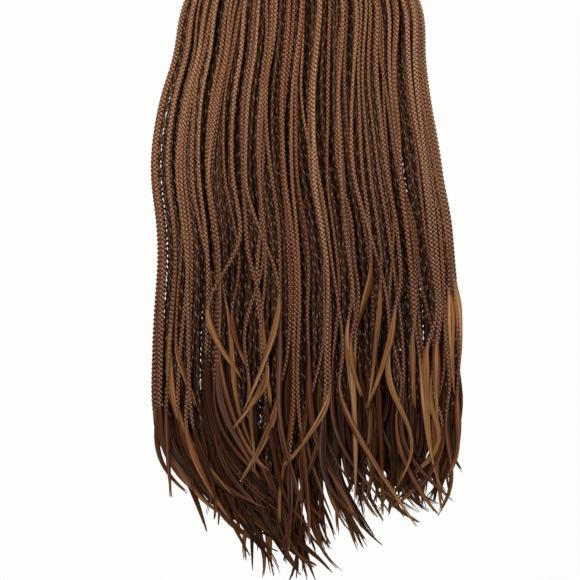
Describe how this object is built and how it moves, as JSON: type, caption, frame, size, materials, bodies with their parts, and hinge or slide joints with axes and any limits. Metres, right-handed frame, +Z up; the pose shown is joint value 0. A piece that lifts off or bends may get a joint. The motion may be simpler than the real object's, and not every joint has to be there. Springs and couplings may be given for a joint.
{
  "type": "braid wig",
  "caption": "Long wig of thin braids on an open dome cap, parted in the middle, hanging behind the shoulders to loose pointed ends.",
  "frame": {"origin": "top of the head, at the highest point of the cap's inner face, where a head carries the wig", "axes": "+Z up, the face opening towards -Y, the wearer's left towards +X"},
  "size_m": [0.2844, 0.2045, 0.7564],
  "materials": {
    "cap_net": "dark knitted stretch net, matt",
    "braided_hair": "light brown synthetic hair fibre in three-strand braids, soft sheen",
    "braided_hair_under": "darker brown synthetic hair fibre in three-strand braids, soft sheen"
  },
  "bodies": {
    "root": {"cap": "cap_net", "outer_lock_left_1": "braided_hair", "outer_lock_left_2": "braided_hair", "outer_lock_left_3": "braided_hair", "outer_lock_left_4": "braided_hair", "outer_lock_left_5": "braided_hair", "outer_lock_left_6": "braided_hair", "outer_lock_left_7": "braided_hair", "outer_lock_left_8": "braided_hair", "outer_lock_left_9": "braided_hair", "under_lock_left_1": "braided_hair_under", "under_lock_left_2": "braided_hair_under", "under_lock_left_3": "braided_hair_under", "under_lock_left_4": "braided_hair_under", "under_lock_left_5": "braided_hair_under", "under_lock_left_6": "braided_hair_under", "outer_lock_right_1": "braided_hair", "outer_lock_right_2": "braided_hair", "outer_lock_right_3": "braided_hair", "outer_lock_right_4": "braided_hair", "outer_lock_right_5": "braided_hair", "outer_lock_right_6": "braided_hair", "outer_lock_right_7": "braided_hair", "outer_lock_right_8": "braided_hair", "outer_lock_right_9": "braided_hair", "under_lock_right_1": "braided_hair_under", "under_lock_right_2": "braided_hair_under", "under_lock_right_3": "braided_hair_under", "under_lock_right_4": "braided_hair_under", "under_lock_right_5": "braided_hair_under", "under_lock_right_6": "braided_hair_under"}
  },
  "joints": []
}
